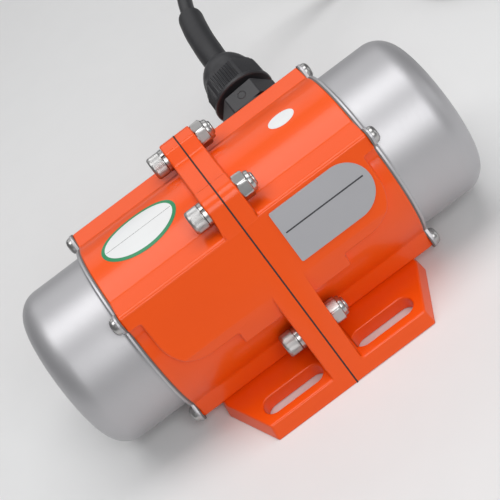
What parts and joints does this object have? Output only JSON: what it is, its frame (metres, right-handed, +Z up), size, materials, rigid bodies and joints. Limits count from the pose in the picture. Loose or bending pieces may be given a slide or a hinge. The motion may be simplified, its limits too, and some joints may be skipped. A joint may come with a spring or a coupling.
{
  "type": "vibration motor",
  "caption": "Foot-mounted electric vibration motor: split cast housing with slotted feet, cup-shaped end covers over adjustable eccentric weights and a cable gland.",
  "frame": {"origin": "on the underside of the feet, at the centre of the four slots, under the middle of the shaft", "axes": "+X along the shaft towards the half that carries the cable gland, +Y towards the back where the gland points, +Z up from the feet"},
  "size_m": [0.3244, 0.2399, 0.0878],
  "materials": {
    "orange_paint": "glossy orange enamel over a cast housing",
    "cup_aluminium": "satin deep-drawn aluminium",
    "gasket": "dull dark gasket",
    "bright_steel": "bright stainless steel",
    "lamination_steel": "dull laminated steel",
    "winding_enamel": "varnished copper windings",
    "bearing_steel": "ground steel",
    "weight_iron": "oiled grey steel",
    "gland_nylon": "black moulded nylon",
    "black_rubber": "soft black rubber",
    "cable_jacket": "smooth black cable jacket"
  },
  "bodies": {
    "frame": {"left_housing": "orange_paint", "right_housing": "orange_paint", "flange_gasket": "gasket", "flange_bolts": "bright_steel", "flange_spring_washers": "bright_steel", "flange_lock_nuts": "bright_steel", "left_end_cover": "cup_aluminium", "right_end_cover": "cup_aluminium", "left_cover_gasket": "gasket", "right_cover_gasket": "gasket", "left_cover_screws": "bright_steel", "right_cover_screws": "bright_steel", "stator_core": "lamination_steel", "stator_windings": "winding_enamel", "left_bearing_outer": "bearing_steel", "right_bearing_outer": "bearing_steel", "gland_washer": "black_rubber", "gland_body": "gland_nylon", "gland_seal": "black_rubber", "gland_nut": "gland_nylon", "cable_sleeve": "black_rubber", "power_cord": "cable_jacket", "cord_coil": "cable_jacket"},
    "rotor": {"shaft": "bearing_steel", "rotor_core": "lamination_steel", "left_bearing_inner": "bearing_steel", "right_bearing_inner": "bearing_steel", "left_fixed_weight": "weight_iron", "right_fixed_weight": "weight_iron", "left_fixed_weight_screw": "bearing_steel", "right_fixed_weight_screw": "bearing_steel", "left_shaft_clip": "bearing_steel", "right_shaft_clip": "bearing_steel"},
    "left_weight": {"left_adjustable_weight": "weight_iron", "left_adjustable_weight_screw": "bearing_steel"},
    "right_weight": {"right_adjustable_weight": "weight_iron", "right_adjustable_weight_screw": "bearing_steel"}
  },
  "joints": [
    {"name": "rotor_spin", "type": "hinge", "parent": "frame", "child": "rotor", "pos_m": [0, 0, 0.04], "axis": [1, 0, 0], "continuous": true},
    {"name": "left_weight_setting", "type": "hinge", "parent": "rotor", "child": "left_weight", "pos_m": [-0.078, 0, 0.04], "axis": [1, 0, 0], "range_deg": [0, 180]},
    {"name": "right_weight_setting", "type": "hinge", "parent": "rotor", "child": "right_weight", "pos_m": [0.078, 0, 0.04], "axis": [1, 0, 0], "range_deg": [0, 180]}
  ]
}
